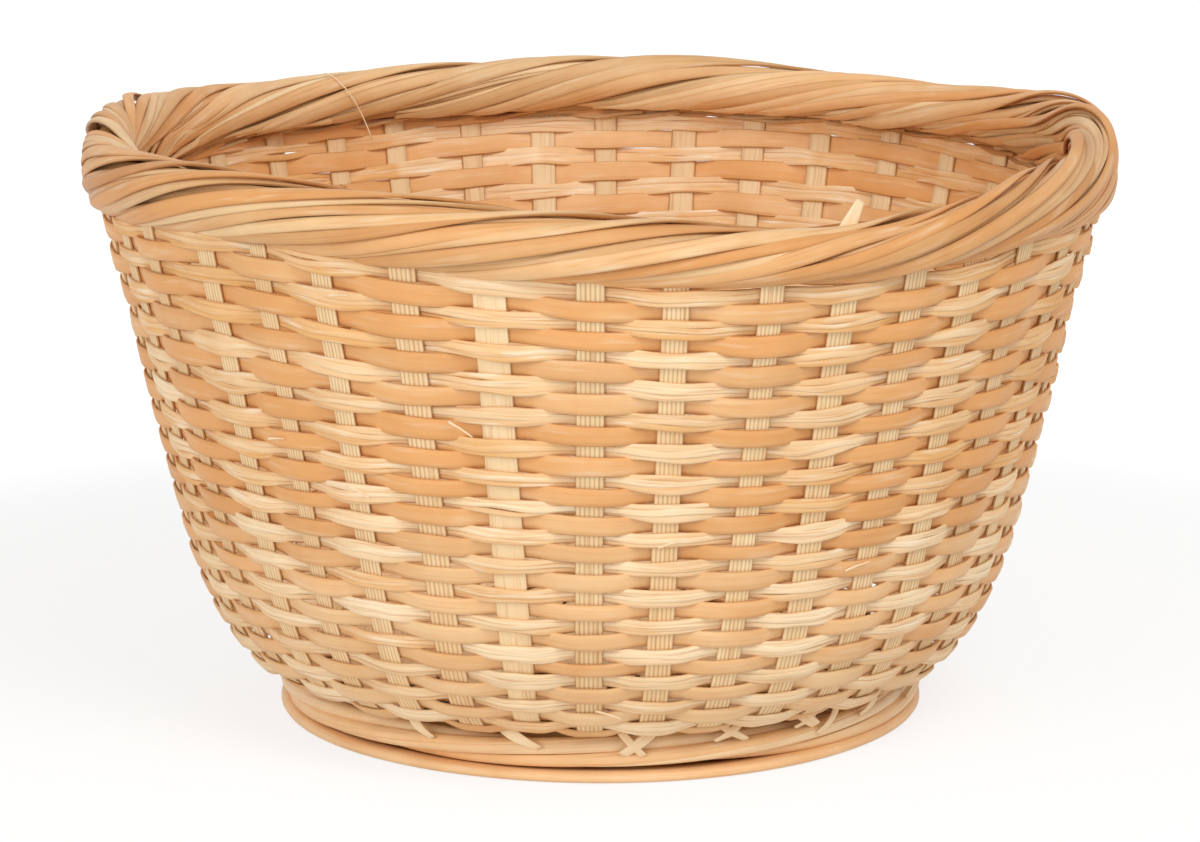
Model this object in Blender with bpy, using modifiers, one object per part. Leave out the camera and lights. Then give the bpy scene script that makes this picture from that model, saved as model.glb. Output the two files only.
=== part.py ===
"""Round open basket of flat splints: cross-laid splints turned up into stakes, chase weave, rolled border, foot."""
import math

import bmesh
import bpy
from mathutils import Vector

MM = 0.001

# Overall sizes
BORDER_RADIUS = 141.5 * MM
BORDER_HEIGHT = 160.1 * MM
BORDER_HALF_WIDTH = 8.5 * MM
BORDER_HALF_HEIGHT = 9.8 * MM
FOOT_RADIUS = 90.0 * MM
FOOT_HOOP_HEIGHT = 3.2 * MM
FOOT_HOOP_WIDTH = 8.6 * MM
FOOT_HOOP_CHAMFER = 1.0 * MM
SEAT_GAP = 0.3 * MM

# Splints, which cross under the base and stand up as the stakes of the wall
SPLINT_COUNT = 19
SPLINT_WIDTH = 7.2 * MM
SPLINT_THICKNESS = 1.1 * MM
SPLINT_SIDE_GAP = 0.8 * MM

# Wall: a corner arc out of the base, which starts just inside the foot's middle, then a Bezier to the border
CORNER_RADIUS = 15.0 * MM
CORNER_ANGLE = math.radians(47)
CORNER_INSET = 0.5 * MM
CORNER_STEPS = 3
WALL_LOW_REACH = 30.0 * MM
WALL_TOP_REACH = 50.0 * MM
WALL_TOP_LEAN = math.radians(12)
WALL_STEPS = 5

# The two weavers that chase each other out over the foot and up the wall
WIDE_WEAVER_WIDTH = 5.3 * MM
NARROW_WEAVER_WIDTH = 3.1 * MM
WEAVER_THICKNESS = 0.9 * MM
WEAVER_ROW_GAP = 0.3 * MM
WEAVER_END_GAP = 0.8 * MM
PASS_GAP = 0.5 * MM
WEAVE_INSET = 10.2 * MM
WEAVE_LENGTHS = 8
LAST_TURN_SHARE = 0.25

# Border: strips laid side by side round a core; each starts at every second stake and has a place of its own
BORDER_STRIP_WIDTH = 7.6 * MM
BORDER_STRIP_THICKNESS = 1.6 * MM
BORDER_STRIP_LAY = 8.6 * MM
BORDER_STRIP_SEAT = 0.6 * MM
BORDER_STRIPS_ABREAST = 6
STAKES_PER_BORDER_STRIP = 2
BORDER_CORE_SIDES = 8

# Foot: a flat hoop under three long strands twisted together, and an upright band inside them
STRAND_COUNT = 3
STRAND_WIDTH = 6.0 * MM
STRAND_THICKNESS = 2.8 * MM
STRAND_CENTRE_GAP = 0.9 * MM
STRAND_TWISTS = 2
FOOT_STEPS = 24
HOOP_STEPS = 40
FOOT_BAND_THICKNESS = 1.4 * MM

# Sections, as shares of a strip's width and thickness
FLAT_SHARES = ((-0.5, -0.5), (0.5, -0.5), (0.5, 0.5), (-0.5, 0.5))
RIDGED_SHARES = ((-0.5, -0.5), (0.5, -0.5), (0.0, 0.5))
WEDGE_SHARES = ((-0.22, -0.5), (0.22, -0.5), (0.5, 0.5), (-0.5, 0.5))

MERGE_DISTANCE = 0.01 * MM
PROFILE_SAMPLES = 720

CORNER_START_RADIUS = FOOT_RADIUS - CORNER_INSET
WEAVE_START_RADIUS = FOOT_RADIUS - WEAVE_INSET
STAKE_COUNT = 2 * SPLINT_COUNT
STAKE_PITCH = 2 * math.pi / STAKE_COUNT
PAIR_PITCH = WIDE_WEAVER_WIDTH + NARROW_WEAVER_WIDTH + 2 * WEAVER_ROW_GAP

HONEY = (0.80, 0.50, 0.22)
CREAM = (0.86, 0.66, 0.38)
TAN = (0.66, 0.38, 0.15)
ROUGHNESS = 0.55


def clear_scene():
    for obj in list(bpy.data.objects):
        bpy.data.objects.remove(obj, do_unlink=True)


def make_collection(name):
    collection = bpy.data.collections.new(name)
    bpy.context.scene.collection.children.link(collection)
    return collection


def add_piece(name, mesh, colour):
    """One object with a material of its own, in the basket's collection."""
    material = bpy.data.materials.new(name)
    material.use_nodes = True
    shader = material.node_tree.nodes["Principled BSDF"]
    shader.inputs["Base Color"].default_value = (*colour, 1)
    shader.inputs["Roughness"].default_value = ROUGHNESS
    shader.inputs["Metallic"].default_value = 0
    mesh.materials.append(material)
    obj = bpy.data.objects.new(name, mesh)
    bpy.data.collections["basket"].objects.link(obj)
    return obj


def outward(azimuth):
    """Level unit vector away from the axis; azimuth 0 is the front, and it grows to the right."""
    return Vector((math.sin(azimuth), -math.cos(azimuth), 0))


def in_plane(azimuth, radial, height):
    """A point or direction of the upright plane at an azimuth."""
    return outward(azimuth) * radial + Vector((0, 0, height))


def strip_faces(mesh, stations, shares):
    """Loft one section through the stations, each (centre, across, through, width, thickness)."""
    rings = []
    for centre, across, through, width, thickness in stations:
        corners = [centre + across * (a * width) + through * (t * thickness) for a, t in shares]
        rings.append([mesh.verts.new(corner) for corner in corners])
    count = len(shares)
    for low, high in zip(rings, rings[1:]):
        for k in range(count):
            n = (k + 1) % count
            # the back and the face of a twisted strip are split along the same diagonal
            if k == 0:
                mesh.faces.new((low[k], low[n], high[k]))
                mesh.faces.new((low[n], high[n], high[k]))
            else:
                mesh.faces.new((low[k], low[n], high[n]))
                mesh.faces.new((low[k], high[n], high[k]))
    mesh.faces.new(list(reversed(rings[0])))
    mesh.faces.new(rings[-1])


def strip_piece(name, stations, shares, colour):
    """A piece that is one strip."""
    built = bmesh.new()
    strip_faces(built, stations, shares)
    bmesh.ops.recalc_face_normals(built, faces=built.faces)
    mesh = bpy.data.meshes.new(name)
    built.to_mesh(mesh)
    built.free()
    return add_piece(name, mesh, colour)


def turned_piece(name, outline, steps, colour):
    """A ring: a closed outline of (radius, height) points turned about the axis, from the front plane on.

    The outline runs down its outer side.
    """
    mesh = bpy.data.meshes.new(name)
    points = [(radius, 0, height) for radius, height in outline]
    count = len(points)
    mesh.from_pydata(points, [(k, (k + 1) % count) for k in range(count)], [])
    ring = add_piece(name, mesh, colour)
    ring.rotation_euler.z = -math.pi / 2
    screw = ring.modifiers.new("Screw", "SCREW")
    screw.steps = steps
    screw.render_steps = steps
    screw.use_merge_vertices = True
    screw.merge_threshold = MERGE_DISTANCE
    screw.use_smooth_shade = False
    return ring


def swing(radius, lean):
    """How far a weaver stands out of and into the wall where it passes a stake, beyond the stake's plane.

    The weaver runs straight from stake to stake, so it must clear the stake's edges and not only its middle.
    The wall's roundness takes some clearance from the outer passes and gives it to the inner ones.
    """
    clear = (SPLINT_THICKNESS + WEAVER_THICKNESS) / 2 + PASS_GAP
    edge_share = SPLINT_WIDTH / 2 / (radius * math.sin(STAKE_PITCH))
    middle = clear / (1 - 2 * edge_share)
    roundness = edge_share * radius * (1 - math.cos(STAKE_PITCH)) * lean
    return middle + roundness, middle - roundness


def foot_height():
    return FOOT_HOOP_HEIGHT + SEAT_GAP + 2 * strand_reach()


def strand_reach():
    """Half the height of the twisted strands: from their centre to a strand's outer corners."""
    return math.hypot(STRAND_CENTRE_GAP + STRAND_THICKNESS, STRAND_WIDTH / 2)


def base_height():
    """Middle height of the splints in the base, which the lowest weaver passes carry on the foot."""
    return foot_height() + SEAT_GAP + swing(FOOT_RADIUS, 0)[0] + WEAVER_THICKNESS / 2


def bezier(points, t):
    a, b, c, d = points
    u = 1 - t
    return a * u ** 3 + b * (3 * u * u * t) + c * (3 * u * t * t) + d * t ** 3


def profile_knots():
    """Corners of the basket's half profile, (radius, height), from the corner's start to the stakes' tops."""
    level = base_height()
    knots = []
    for step in range(CORNER_STEPS + 1):
        angle = CORNER_ANGLE * step / CORNER_STEPS
        radius = CORNER_START_RADIUS + CORNER_RADIUS * math.sin(angle)
        knots.append(Vector((radius, level + CORNER_RADIUS * (1 - math.cos(angle)))))
    low = knots[-1]
    core_bottom = BORDER_HEIGHT - core_half_height()
    top = Vector((BORDER_RADIUS, core_bottom - SEAT_GAP - SPLINT_THICKNESS / 2))
    out_of_corner = Vector((math.cos(CORNER_ANGLE), math.sin(CORNER_ANGLE)))
    into_border = Vector((math.sin(WALL_TOP_LEAN), math.cos(WALL_TOP_LEAN)))
    handles = (low, low + out_of_corner * WALL_LOW_REACH, top - into_border * WALL_TOP_REACH, top)
    knots += [bezier(handles, step / WALL_STEPS) for step in range(1, WALL_STEPS + 1)]
    return knots


class Profile:
    """The middle of the splints as a path from the axis along the base and up the wall."""

    def __init__(self):
        self.knots = [Vector((0, base_height()))] + profile_knots()
        self.lengths = [0]
        for low, high in zip(self.knots, self.knots[1:]):
            self.lengths.append(self.lengths[-1] + (high - low).length)
        runs = [(high - low).normalized() for low, high in zip(self.knots, self.knots[1:])]
        pairs = zip([runs[0]] + runs, runs + [runs[-1]])
        self.directions = [(before + after).normalized() for before, after in pairs]

    def at(self, length):
        """Point, direction and outer normal at a length along the path; the direction turns smoothly."""
        k = 0
        while k < len(self.knots) - 2 and self.lengths[k + 1] < length:
            k += 1
        share = (length - self.lengths[k]) / (self.lengths[k + 1] - self.lengths[k])
        point = self.knots[k].lerp(self.knots[k + 1], share)
        along = self.directions[k].lerp(self.directions[k + 1], share).normalized()
        return point, along, Vector((along.y, -along.x))

    def length_at_height(self, height):
        k = len(self.knots) - 2
        while self.knots[k].y > height:
            k -= 1
        low, high = self.knots[k], self.knots[k + 1]
        share = (height - low.y) / (high.y - low.y)
        return self.lengths[k] + share * (self.lengths[k + 1] - self.lengths[k])


def splint_stations(profile, side, place, level):
    """Half a splint, from the middle of the base to its tip.

    side is the azimuth that its layer runs towards, place its number from the layer's middle, and level how
    far its layer lies above or below the middle of the base.
    """
    azimuth = side + place * STAKE_PITCH
    shift = place * (SPLINT_WIDTH + SPLINT_SIDE_GAP)
    bend = shift / math.tan(place * STAKE_PITCH) if place else (SPLINT_WIDTH + SPLINT_SIDE_GAP) / STAKE_PITCH
    forward, right = outward(side), outward(side + math.pi / 2)
    up = Vector((0, 0, 1))
    height = base_height() + level
    turn = side + place * STAKE_PITCH / 2
    corner = forward * bend + right * shift + up * height
    stations = [(corner, outward(turn + math.pi / 2), up, SPLINT_WIDTH, SPLINT_THICKNESS)]
    across = outward(azimuth + math.pi / 2)
    knots = profile.knots[1:]
    for k, knot in enumerate(knots):
        before = knot - knots[k - 1] if k else Vector((1, 0))
        after = knots[k + 1] - knot if k + 1 < len(knots) else before
        along = (before.normalized() + after.normalized()).normalized()
        through = in_plane(azimuth, -along.y, along.x)
        centre = in_plane(azimuth, knot.x, knot.y)
        mitre = SPLINT_THICKNESS / along.dot(after.normalized())
        stations.append((centre, across, through, SPLINT_WIDTH, mitre))
    return stations


def mirrored(station):
    """The same station of the half that runs the other way, with its across turned to match."""
    centre, across, through, width, thickness = station
    return centre, -across, through, width, thickness


def add_splints(profile):
    """Two layers crossed at right angles under the base; every end fans out to its own stake place."""
    layer = (SPLINT_THICKNESS + SEAT_GAP) / 2
    lower_count = SPLINT_COUNT // 2
    upper_count = SPLINT_COUNT - lower_count
    number = 0
    for count, side, level in ((lower_count, 0, -layer), (upper_count, math.pi / 2, layer)):
        for k in range(count):
            place = k - (count - 1) / 2
            ahead = splint_stations(profile, side, place, level)
            behind = splint_stations(profile, side + math.pi, -place, level)
            number += 1
            colour = CREAM if number % 2 else HONEY
            stations = [mirrored(station) for station in reversed(behind)] + ahead
            strip_piece(f"splint_{number:02d}", stations, FLAT_SHARES, colour)


def weaver_station(profile, crossing, turns, low_edge, width, parity):
    """One pass of a weaver at a stake; it lies outside the stakes whose number has its parity."""
    turn = crossing / STAKE_COUNT
    last = max(0.0, turn - (turns - 1))
    taper = 1 - last * (1 - LAST_TURN_SHARE)
    start = profile_start(profile, turns)
    length = start + turn * PAIR_PITCH + (low_edge + width / 2) * taper
    point, along, normal = profile.at(length)
    stake = SPLINT_COUNT - crossing
    azimuth = stake * STAKE_PITCH
    out, inside = swing(point.x, normal.x)
    offset = out if stake % 2 == parity else -inside
    point = point + normal * offset
    centre = in_plane(azimuth, point.x, point.y)
    return centre, in_plane(azimuth, along.x, along.y), in_plane(azimuth, normal.x, normal.y), width * taper, \
        WEAVER_THICKNESS


def weave_turns(profile):
    """How many turns of the pair fit between the base and the border."""
    top = profile.length_at_height(BORDER_HEIGHT - BORDER_HALF_HEIGHT - SEAT_GAP)
    return int((top - WEAVE_START_RADIUS) / PAIR_PITCH)


def profile_start(profile, turns):
    """Where the pair's lower edge starts on the profile, so that its last turn ends under the border."""
    top = profile.length_at_height(BORDER_HEIGHT - BORDER_HALF_HEIGHT - SEAT_GAP)
    return top - PAIR_PITCH * (turns + LAST_TURN_SHARE)


def add_weaver(profile, name, low_edge, width, parity, shares, colour):
    """One weaver in lengths that follow each other, each hiding its ends inside a stake."""
    turns = weave_turns(profile)
    crossings = turns * STAKE_COUNT
    hidden = [c for c in range(crossings + 1) if (SPLINT_COUNT - c) % 2 != parity]
    cuts = [hidden[round(k * (len(hidden) - 1) / WEAVE_LENGTHS)] for k in range(WEAVE_LENGTHS + 1)]
    for k, (first, last) in enumerate(zip(cuts, cuts[1:])):
        stations = [weaver_station(profile, c, turns, low_edge, width, parity) for c in range(first, last + 1)]
        shorten(stations, 0, 1)
        shorten(stations, -1, -2)
        strip_piece(f"{name}_{k + 1}", stations, shares, colour)


def shorten(stations, end, inner):
    """Draw an end station back towards its neighbour by half the gap between two lengths."""
    centre, across, through, width, thickness = stations[end]
    step = (stations[inner][0] - centre).normalized() * (WEAVER_END_GAP / 2)
    stations[end] = (centre + step, across, through, width, thickness)


def core_half_width():
    return BORDER_HALF_WIDTH - BORDER_STRIP_THICKNESS - BORDER_STRIP_SEAT


def core_half_height():
    return BORDER_HALF_HEIGHT - BORDER_STRIP_THICKNESS - BORDER_STRIP_SEAT


def add_border_core():
    """The gathered tails inside the roll, as one ring."""
    outline = []
    for k in range(BORDER_CORE_SIDES):
        angle = math.pi / 2 - 2 * math.pi * k / BORDER_CORE_SIDES
        outline.append((BORDER_RADIUS + core_half_width() * math.cos(angle),
                        BORDER_HEIGHT + core_half_height() * math.sin(angle)))
    turned_piece("border_core", outline, STAKE_COUNT, TAN)


def border_places():
    """Angles about the roll's middle where a strip lies at each step, evenly spaced along the roll's skin."""
    half_width = BORDER_HALF_WIDTH - BORDER_STRIP_THICKNESS / 2
    half_height = BORDER_HALF_HEIGHT - BORDER_STRIP_THICKNESS / 2
    angles = [-math.pi / 2 + 2 * math.pi * k / PROFILE_SAMPLES for k in range(PROFILE_SAMPLES + 1)]
    points = [Vector((half_width * math.cos(a), half_height * math.sin(a))) for a in angles]
    lengths = [0]
    for low, high in zip(points, points[1:]):
        lengths.append(lengths[-1] + (high - low).length)
    steps = (BORDER_STRIPS_ABREAST - 1) * STAKES_PER_BORDER_STRIP
    lay = BORDER_STRIP_LAY / STAKES_PER_BORDER_STRIP
    first = (lengths[-1] - steps * lay) / 2
    places = []
    for step in range(steps + 1):
        wanted = first + step * lay
        k = next(i for i, length in enumerate(lengths) if length >= wanted)
        places.append((points[k], Vector((math.cos(angles[k]) / half_width, math.sin(angles[k]) / half_height))))
    return places


def border_strip(places, stake):
    """A strip that starts under the roll at a stake and runs to the right, up its face, over and down inside."""
    stations = []
    for step, (point, normal) in enumerate(places):
        azimuth = (stake + step) * STAKE_PITCH
        normal = normal.normalized()
        centre = in_plane(azimuth, BORDER_RADIUS + point.x, BORDER_HEIGHT + point.y)
        across = in_plane(azimuth, -normal.y, normal.x)
        through = in_plane(azimuth, normal.x, normal.y)
        stations.append((centre, across, through, BORDER_STRIP_WIDTH, BORDER_STRIP_THICKNESS))
    return stations


def add_border():
    add_border_core()
    places = border_places()
    for k in range(STAKE_COUNT // STAKES_PER_BORDER_STRIP):
        stations = border_strip(places, k * STAKES_PER_BORDER_STRIP)
        strip_piece(f"border_strip_{k + 1:02d}", stations, RIDGED_SHARES, HONEY if k % 2 else CREAM)


def add_foot():
    half = FOOT_HOOP_WIDTH / 2
    top = FOOT_HOOP_HEIGHT
    cut = FOOT_HOOP_CHAMFER
    outline = [(FOOT_RADIUS - half, top), (FOOT_RADIUS + half - cut, top), (FOOT_RADIUS + half, top - cut),
               (FOOT_RADIUS + half, cut), (FOOT_RADIUS + half - cut, 0), (FOOT_RADIUS - half, 0)]
    turned_piece("foot_hoop", outline, HOOP_STEPS, HONEY)
    # the strands run straight between their stations, which brings them inside their circle
    outer = (FOOT_RADIUS - strand_reach()) * math.cos(math.pi / FOOT_STEPS) - SEAT_GAP
    inner = outer - FOOT_BAND_THICKNESS
    outline = [(inner, foot_height()), (outer, foot_height()), (outer, 0), (inner, 0)]
    turned_piece("foot_band", outline, HOOP_STEPS, TAN)
    middle = foot_height() - strand_reach()
    reach = STRAND_CENTRE_GAP + STRAND_THICKNESS / 2
    gap_angle = WEAVER_END_GAP / FOOT_RADIUS
    for k in range(STRAND_COUNT):
        stations = []
        for step in range(FOOT_STEPS + 1):
            around = 2 * math.pi * step / FOOT_STEPS - (gap_angle if step == FOOT_STEPS else 0)
            azimuth = math.pi + around
            phase = 2 * math.pi * k / STRAND_COUNT + STRAND_TWISTS * around
            along, up = math.cos(phase), math.sin(phase)
            centre = in_plane(azimuth, FOOT_RADIUS + reach * along, middle + reach * up)
            stations.append((centre, in_plane(azimuth, -up, along), in_plane(azimuth, along, up),
                             STRAND_WIDTH, STRAND_THICKNESS))
        strip_piece(f"foot_strand_{k + 1}", stations, WEDGE_SHARES, CREAM if k else HONEY)


def main():
    clear_scene()
    make_collection("basket")
    profile = Profile()
    add_splints(profile)
    low_edge = WEAVER_ROW_GAP
    add_weaver(profile, "wide_weaver", low_edge, WIDE_WEAVER_WIDTH, 0, FLAT_SHARES, HONEY)
    low_edge += WIDE_WEAVER_WIDTH + WEAVER_ROW_GAP
    add_weaver(profile, "narrow_weaver", low_edge, NARROW_WEAVER_WIDTH, 1, RIDGED_SHARES, CREAM)
    add_border()
    add_foot()


main()
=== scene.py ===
"""Looks of the round splint basket: stakes, weavers, border and foot as separate pieces of split cane."""
import math

import bpy
import numpy as np
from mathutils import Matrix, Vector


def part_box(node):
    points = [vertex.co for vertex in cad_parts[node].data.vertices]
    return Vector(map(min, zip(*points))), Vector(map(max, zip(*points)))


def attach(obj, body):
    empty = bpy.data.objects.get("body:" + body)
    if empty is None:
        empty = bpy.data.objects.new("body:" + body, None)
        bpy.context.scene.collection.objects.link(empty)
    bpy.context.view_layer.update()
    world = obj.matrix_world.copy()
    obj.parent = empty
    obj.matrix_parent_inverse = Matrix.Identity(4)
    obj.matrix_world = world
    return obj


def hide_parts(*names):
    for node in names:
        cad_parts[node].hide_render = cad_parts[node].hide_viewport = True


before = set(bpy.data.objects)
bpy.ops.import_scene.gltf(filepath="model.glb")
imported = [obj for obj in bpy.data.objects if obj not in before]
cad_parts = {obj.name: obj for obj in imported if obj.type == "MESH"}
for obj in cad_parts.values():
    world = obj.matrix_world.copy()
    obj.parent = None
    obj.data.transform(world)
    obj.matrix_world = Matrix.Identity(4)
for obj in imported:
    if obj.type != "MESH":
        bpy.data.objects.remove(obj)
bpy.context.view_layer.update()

MM = 0.001
UP = np.array([0, 0, 1.0])

# Sizes of the pieces as built, which place the finish on the frame
CORE_HALF_WIDTH = 6.3 * MM
CORE_HALF_HEIGHT = 7.6 * MM
BORDER_HALF_HEIGHT = 9.8 * MM
SEAT_GAP = 0.3 * MM
HOOP_HALF_WIDTH = 4.3 * MM
BAND_THICKNESS = 1.4 * MM
SPLINT_COUNT = 19
STAKE_COUNT = 2 * SPLINT_COUNT
STAKE_PITCH = 2 * math.pi / STAKE_COUNT
SPLINT_WIDTH = 7.2 * MM
SPLINT_THICKNESS = 1.1 * MM
SPLINT_LAY = 8.0 * MM
LAYER_HEIGHT = 0.7 * MM
CORNER_RADIUS = 15 * MM
CORNER_ANGLE = math.radians(47)
CORNER_INSET = 0.5 * MM
WALL_LOW_REACH = 30 * MM
WALL_TOP_REACH = 50 * MM
WALL_TOP_LEAN = math.radians(12)
STAKE_TOP_GAP = 0.85 * MM
WIDE_WEAVER_WIDTH = 5.3 * MM
NARROW_WEAVER_WIDTH = 3.1 * MM
WEAVER_ROW_GAP = 0.3 * MM
PAIR_PITCH = WIDE_WEAVER_WIDTH + NARROW_WEAVER_WIDTH + 2 * WEAVER_ROW_GAP
WEAVE_INSET = 10.2 * MM
WEAVE_LENGTHS = 8

# How far the wall swells past the plain solids, and where each swell starts and ends. The low one starts at
# distances past the corner, and the other places are heights.
WALL_SWELL = 1.0 * MM
LOW_SWELL = 2.2 * MM
LOW_SWELL_START = (1 * MM, 11 * MM)
LOW_SWELL_END = (30 * MM, 85 * MM)
TOP_SWELL = 1.3 * MM
TOP_SWELL_START = (118 * MM, 142 * MM)

# Points along the middle of the stakes
BASE_POINTS = 40
CORNER_POINTS = 24
WALL_POINTS = 90

# Linear colours of the cane
HONEY = (0.77, 0.375, 0.13)
CREAM = (0.87, 0.62, 0.345)
STRAW = (0.93, 0.77, 0.56)
AMBER = (0.62, 0.27, 0.08)
BROWN = (0.34, 0.16, 0.06)

RANDOM = np.random.default_rng(seed=7)


# Places read from the frame
core_low, core_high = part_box("border_core")
hoop_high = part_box("foot_hoop")[1]
splint_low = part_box("splint_01")[0]
BORDER_RADIUS = core_high.x - CORE_HALF_WIDTH
BORDER_HEIGHT = (core_low.z + core_high.z) / 2
FOOT_RADIUS = hoop_high.x - HOOP_HALF_WIDTH
HOOP_TOP = hoop_high.z
BASE_HEIGHT = splint_low.z + LAYER_HEIGHT + SPLINT_THICKNESS / 2


def outward(azimuth):
    """Level unit vectors away from the axis; azimuth 0 is the front, and it grows to the right."""
    return np.stack([np.sin(azimuth), -np.cos(azimuth), 0 * azimuth], axis=-1)


def in_plane(azimuth, radial, height):
    """Points or directions of the upright planes at these azimuths."""
    level = outward(np.asarray(azimuth, float)) * np.asarray(radial)[..., None]
    return level + np.asarray(height)[..., None] * UP


def full_turn(count):
    """Angles spaced evenly round a full turn."""
    return np.arange(count) * 2 * math.pi / count


def smoothstep(x, low, high):
    t = np.clip((x - low) / (high - low), 0, 1)
    return t * t * (3 - 2 * t)


def ripple(waves, around, along):
    """A smooth random field over azimuth and length, about -1 to 1; it meets itself after a full turn."""
    turns = RANDOM.integers(1, around + 1, waves)
    rises = RANDOM.uniform(-1, 1, waves) * 2 * math.pi / along
    phases = RANDOM.uniform(0, 2 * math.pi, waves)

    def field(azimuth, length):
        total = sum(np.sin(t * azimuth + r * length + p) for t, r, p in zip(turns, rises, phases))
        return total / math.sqrt(waves)

    return field


def bezier(points, t):
    a, b, c, d = (np.array(p) for p in points)
    t = t[:, None]
    u = 1 - t
    return a * u ** 3 + 3 * b * t * u ** 2 + 3 * c * t ** 2 * u + d * t ** 3


# Where the border stands higher or lower than its even ring, as azimuth, spread in degrees and rise
BORDER_WAVES = ((-37, 26, 4.2 * MM), (0, 30, -1.2 * MM), (33, 22, -3.6 * MM))

# Where its roll is thinner: above and below, above only, and on the inside at both ends
SLIM_PLACE, SLIM_SPREAD, SLIM_BY = 33, 22, 1.8 * MM
DIP_PLACE, DIP_SPREAD, DIP_BY = 25, 14, 2.6 * MM
PINCH_PLACE, PINCH_SPREAD, PINCH_BY = 94, 32, 3.0 * MM


def near(azimuth, place, spread):
    """1 at a place round the basket, in degrees, falling to 0 away from it."""
    off = (azimuth - math.radians(place) + math.pi) % (2 * math.pi) - math.pi
    return np.exp(-(off / math.radians(spread)) ** 2)


def both_sides(azimuth, place, spread):
    """The same at this place on the right and on the left."""
    return near(azimuth, place, spread) + near(azimuth, -place, spread)


def border_rise(azimuth):
    return sum(rise * near(azimuth, place, spread) for place, spread, rise in BORDER_WAVES)


class Profile:
    """The middle of the stakes: from the axis over the base, round the corner and up to the border."""

    def __init__(self):
        start = FOOT_RADIUS - CORNER_INSET
        turn = np.linspace(0, CORNER_ANGLE, CORNER_POINTS)
        corner = np.stack([start + CORNER_RADIUS * np.sin(turn),
                           BASE_HEIGHT + CORNER_RADIUS * (1 - np.cos(turn))], 1)
        low = corner[-1]
        top = np.array([BORDER_RADIUS, BORDER_HEIGHT - CORE_HALF_HEIGHT - STAKE_TOP_GAP])
        into = np.array([math.sin(WALL_TOP_LEAN), math.cos(WALL_TOP_LEAN)])
        out = np.array([math.cos(CORNER_ANGLE), math.sin(CORNER_ANGLE)])
        handles = (low, low + out * WALL_LOW_REACH, top - into * WALL_TOP_REACH, top)
        wall = bezier(handles, np.linspace(0, 1, WALL_POINTS)[1:])
        level = np.linspace(0, start, BASE_POINTS)[:-1]
        base = np.stack([level, np.full(len(level), BASE_HEIGHT)], 1)
        points = np.concatenate([base, corner, wall, [top + into * CORE_HALF_HEIGHT]])
        self.lengths = np.concatenate([[0], np.cumsum(np.linalg.norm(np.diff(points, axis=0), axis=1))])
        step = np.gradient(points, self.lengths, axis=0)
        self.lean = np.arctan2(step[:, 1], step[:, 0])
        radius, height = points.T
        low_swell = LOW_SWELL * smoothstep(radius, *(start + past for past in LOW_SWELL_START))
        swell = WALL_SWELL * smoothstep(radius, start, start + CORNER_RADIUS)
        swell += low_swell * (1 - smoothstep(height, *LOW_SWELL_END))
        swell += TOP_SWELL * smoothstep(height, *TOP_SWELL_START)
        self.radius = radius + swell * np.sin(self.lean)
        self.height = height - swell * np.cos(self.lean)
        self.corner = start
        self.top = np.interp(BORDER_HEIGHT - BORDER_HALF_HEIGHT - SEAT_GAP, self.height, self.lengths)

    def at(self, length):
        """Radius, height, direction and outer normal at lengths along the path."""
        lean = np.interp(length, self.lengths, self.lean)
        return (np.interp(length, self.lengths, self.radius), np.interp(length, self.lengths, self.height),
                (np.cos(lean), np.sin(lean)), (np.sin(lean), -np.cos(lean)))


PROFILE = Profile()


# How far each stake leans round from its even place at the top, in degrees, as stake number: lean
LEANS = {0: 0.6, 1: 0.2, 2: 1.2, 3: 0.4, 4: 0.0, 5: -1.0,
         -1: -0.7, -2: -0.75, -3: -1.2, -4: 0.0, -5: 0.8, -6: -1.8}
OTHER_LEANS = (-0.9, 0.9)

# Widths of the stakes on the wall, in millimetres, as stake number: width
WIDTHS = {0: 7.6, 1: 7.2, 2: 6.8, -1: 9.0, -2: 8.0, -3: 6.5, -4: 5.9}
OTHER_WIDTHS = (6.4, 8.0)


def by_stake(given, others):
    """One value for each stake: the given ones, and random ones in a range for the others."""
    values = RANDOM.uniform(*others, STAKE_COUNT)
    for stake, value in given.items():
        values[stake % STAKE_COUNT] = value
    return values


STAKE_LEANS = np.radians(by_stake(LEANS, OTHER_LEANS))
STAKE_WIDTHS = by_stake(WIDTHS, OTHER_WIDTHS) * MM


def around(values, stake):
    """A value between stakes, on a smooth line through the stakes' own values."""
    low = np.floor(stake).astype(int)
    share = smoothstep(stake - low, 0, 1)
    return values[low % STAKE_COUNT] * (1 - share) + values[(low + 1) % STAKE_COUNT] * share


def stake_azimuth(stake, length):
    """Azimuth of a place counted in stakes, at a length up the profile."""
    return stake * STAKE_PITCH + around(STAKE_LEANS, stake) * smoothstep(length, PROFILE.corner, PROFILE.top)


def unit(vectors):
    return vectors / np.linalg.norm(vectors, axis=-1, keepdims=True)


def grid_faces(rows, columns, closed):
    """Quads between rows of points that each close on themselves."""
    first = np.arange(rows if closed else rows - 1)[:, None]
    side = np.arange(columns)[None, :]
    turn = (side + 1) % columns
    above = (first + 1) % rows
    return np.stack([first * columns + side, first * columns + turn, above * columns + turn,
                     above * columns + side], -1).reshape(-1, 4)


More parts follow.
